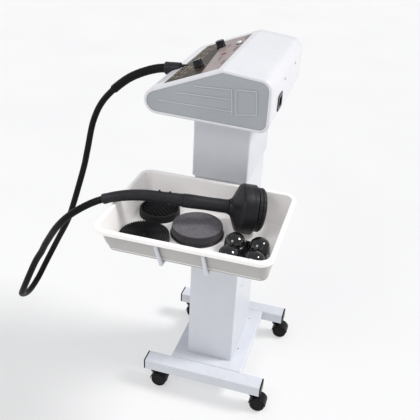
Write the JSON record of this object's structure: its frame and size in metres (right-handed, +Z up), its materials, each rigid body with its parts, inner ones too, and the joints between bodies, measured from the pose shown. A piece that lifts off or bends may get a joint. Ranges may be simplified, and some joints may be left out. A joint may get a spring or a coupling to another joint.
{
  "type": "massage therapy machine",
  "caption": "Floor-standing vibration massage machine: castor base, column with accessory tray, sloped console, hose-driven handpiece and interchangeable applicators.",
  "frame": {"origin": "on the floor, under the middle of the column", "axes": "+Z up, the operator stands at -Y facing the control slope, the accessory tray is at +X"},
  "size_m": [0.723, 0.8365, 1.1254],
  "materials": {
    "white_sheet": "smooth white powder coat",
    "white_shell": "satin white moulding",
    "tray_white": "satin white moulding",
    "black_plastic": "fine grained black moulding",
    "black_rubber": "matt black rubber",
    "castor_tread": "matt black tread",
    "hose_black": "ribbed black sheath",
    "foam_grey": "open cell foam",
    "ball_black": "polished black",
    "bright_steel": "machined",
    "motor_grey": "painted can",
    "rotor_core": "laminated core",
    "panel_film": "printed film",
    "button_white": "smooth cap",
    "lamp_red": "clear red lens",
    "board_green": "coated circuit board"
  },
  "bodies": {
    "root": {"foot_bar_tray_side": "white_sheet", "foot_bar_far_side": "white_sheet", "bar_end_caps": "black_plastic", "base_pan": "white_sheet", "base_screws": "bright_steel", "castor_sockets": "black_plastic", "lower_column": "white_sheet", "upper_cover": "white_shell", "column_screws": "bright_steel", "tray": "tray_white", "tray_arm_front": "white_sheet", "tray_arm_rear": "white_sheet", "tray_bracket": "white_sheet", "console_shell": "white_shell", "console_cheek_tray_side": "white_shell", "console_cheek_far_side": "white_shell", "console_base_plate": "white_sheet", "rear_screws": "bright_steel", "control_panel": "panel_film", "control_pots": "bright_steel", "button_bezel": "black_plastic", "pilot_lamp": "lamp_red", "mains_inlet": "black_plastic", "control_board": "board_green", "motor_can": "motor_grey", "motor_cradle": "white_sheet", "shaft_gland": "black_plastic", "connector_sleeve": "black_plastic", "hose_guard": "black_rubber", "hose": "hose_black"},
    "intensity_knob": {"intensity_knob": "black_plastic"},
    "timer_knob": {"timer_knob": "black_plastic"},
    "start_button": {"start_button": "button_white"},
    "motor_shaft": {"motor_rotor": "rotor_core", "drive_coupling": "bright_steel"},
    "handpiece": {"bend_boot": "black_rubber", "grip_rear": "black_rubber", "grip_front": "black_plastic", "grip_studs": "black_rubber", "head_housing": "black_plastic", "head_bearings": "bright_steel"},
    "spindle": {"spindle": "bright_steel"},
    "applicator": {"drive_plate": "black_plastic", "fitted_applicator": "black_rubber"},
    "sponge_applicator": {"sponge_backing": "black_plastic", "sponge_pad": "foam_grey"},
    "ridged_applicator": {"ridged_applicator": "black_rubber"},
    "cupped_applicator": {"cupped_applicator": "black_rubber"},
    "ball_applicator": {"ball_applicator": "ball_black"},
    "castor_tray_front_swivel": {"castor_tray_front_hood": "black_plastic"},
    "castor_tray_front_wheels": {"castor_tray_front_wheels": "castor_tread"},
    "castor_tray_rear_swivel": {"castor_tray_rear_hood": "black_plastic"},
    "castor_tray_rear_wheels": {"castor_tray_rear_wheels": "castor_tread"},
    "castor_far_front_swivel": {"castor_far_front_hood": "black_plastic"},
    "castor_far_front_wheels": {"castor_far_front_wheels": "castor_tread"},
    "castor_far_rear_swivel": {"castor_far_rear_hood": "black_plastic"},
    "castor_far_rear_wheels": {"castor_far_rear_wheels": "castor_tread"}
  },
  "joints": [
    {"name": "castor_tray_front_swivel", "type": "hinge", "parent": "root", "child": "castor_tray_front_swivel", "pos_m": [0.191, -0.171, 0.07], "axis": [0, 0, 1], "continuous": true},
    {"name": "castor_tray_front_roll", "type": "hinge", "parent": "castor_tray_front_swivel", "child": "castor_tray_front_wheels", "pos_m": [0.191, -0.151, 0.025], "axis": [1, 0, 0], "continuous": true},
    {"name": "castor_tray_rear_swivel", "type": "hinge", "parent": "root", "child": "castor_tray_rear_swivel", "pos_m": [0.191, 0.171, 0.07], "axis": [0, 0, 1], "continuous": true},
    {"name": "castor_tray_rear_roll", "type": "hinge", "parent": "castor_tray_rear_swivel", "child": "castor_tray_rear_wheels", "pos_m": [0.191, 0.191, 0.025], "axis": [1, 0, 0], "continuous": true},
    {"name": "castor_far_front_swivel", "type": "hinge", "parent": "root", "child": "castor_far_front_swivel", "pos_m": [-0.191, -0.171, 0.07], "axis": [0, 0, 1], "continuous": true},
    {"name": "castor_far_front_roll", "type": "hinge", "parent": "castor_far_front_swivel", "child": "castor_far_front_wheels", "pos_m": [-0.191, -0.151, 0.025], "axis": [1, 0, 0], "continuous": true},
    {"name": "castor_far_rear_swivel", "type": "hinge", "parent": "root", "child": "castor_far_rear_swivel", "pos_m": [-0.191, 0.171, 0.07], "axis": [0, 0, 1], "continuous": true},
    {"name": "castor_far_rear_roll", "type": "hinge", "parent": "castor_far_rear_swivel", "child": "castor_far_rear_wheels", "pos_m": [-0.191, 0.191, 0.025], "axis": [1, 0, 0], "continuous": true},
    {"name": "intensity_turn", "type": "hinge", "parent": "root", "child": "intensity_knob", "pos_m": [0.11, -0.0791, 1.08812], "axis": [0, -0.3697, 0.9291], "range_deg": [0, 280]},
    {"name": "timer_turn", "type": "hinge", "parent": "root", "child": "timer_knob", "pos_m": [-0.1, -0.07631, 1.08923], "axis": [0, -0.3697, 0.9291], "range_deg": [0, 300]},
    {"name": "start_press", "type": "slide", "parent": "root", "child": "start_button", "axis": [0, 0.3697, -0.9291], "range_m": [0, 0.002], "stiffness_N_per_m": 400, "springref_m": -0.001},
    {"name": "motor_spin", "type": "hinge", "parent": "root", "child": "motor_shaft", "pos_m": [0.04, -0.198, 1.05], "axis": [0, -0.9945, -0.1045], "continuous": true},
    {"name": "handpiece_lift", "type": "slide", "parent": "root", "child": "handpiece", "axis": [0, 0, 1], "range_m": [0, 0.14]},
    {"name": "spindle_spin", "type": "hinge", "parent": "handpiece", "child": "spindle", "pos_m": [0.22543, 0.10485, 0.75399], "axis": [-0.362, 0.919, -0.1564], "continuous": true},
    {"name": "applicator_orbit", "type": "hinge", "parent": "spindle", "child": "applicator", "pos_m": [0.22529, 0.10522, 0.75646], "axis": [-0.362, 0.919, -0.1564], "continuous": true},
    {"name": "sponge_lift", "type": "slide", "parent": "root", "child": "sponge_applicator", "axis": [0, 0, 1], "range_m": [0, 0.03]},
    {"name": "ridged_lift", "type": "slide", "parent": "root", "child": "ridged_applicator", "axis": [0, 0, 1], "range_m": [0, 0.045]},
    {"name": "cupped_lift", "type": "slide", "parent": "root", "child": "cupped_applicator", "axis": [0, 0, 1], "range_m": [0, 0.12]},
    {"name": "ball_lift", "type": "slide", "parent": "root", "child": "ball_applicator", "axis": [0, 0, 1], "range_m": [0, 0.12]}
  ],
  "couplings": [
    {"joint": "spindle_spin", "follows": "motor_spin", "ratio": 1},
    {"joint": "applicator_orbit", "follows": "motor_spin", "ratio": -1}
  ]
}
